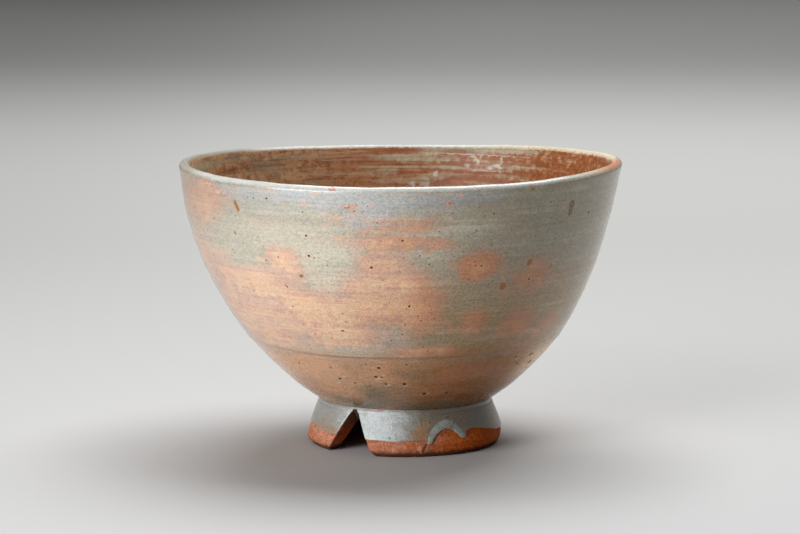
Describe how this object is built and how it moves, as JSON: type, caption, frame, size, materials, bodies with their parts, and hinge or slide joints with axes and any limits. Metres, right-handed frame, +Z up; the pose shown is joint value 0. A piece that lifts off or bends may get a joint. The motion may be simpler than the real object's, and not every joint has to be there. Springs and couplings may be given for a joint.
{
  "type": "tea bowl",
  "caption": "Deep round stoneware tea bowl with a thin rounded lip, glazed inside and out, on a flared, luted foot ring cut through with a V; holds whisked tea.",
  "frame": {"origin": "on the bowl's axis, at the level of the surface it stands on", "axes": "+Z up along the bowl's axis, -Y through the middle of the V cut in the foot"},
  "size_m": [0.13, 0.13, 0.082],
  "materials": {
    "bowl_clay": "bare iron-bearing stoneware, matt and sandy",
    "foot_clay": "bare iron-bearing stoneware, matt, toasted orange to brown",
    "slip": "fired slip, matt",
    "outer_glaze": "satin grey-green glaze with peach blushes and dark specks",
    "inner_glaze": "satin rust-brown glaze streaked pale along the throwing rings",
    "foot_glaze": "satin pale blue-grey glaze",
    "glaze_run": "glossier thick pale grey glaze"
  },
  "bodies": {
    "root": {"bowl_wall": "bowl_clay", "foot_ring": "foot_clay", "joint_slip": "slip", "outer_glaze": "outer_glaze", "inner_glaze": "inner_glaze", "foot_glaze": "foot_glaze", "glaze_run": "glaze_run"}
  },
  "joints": []
}
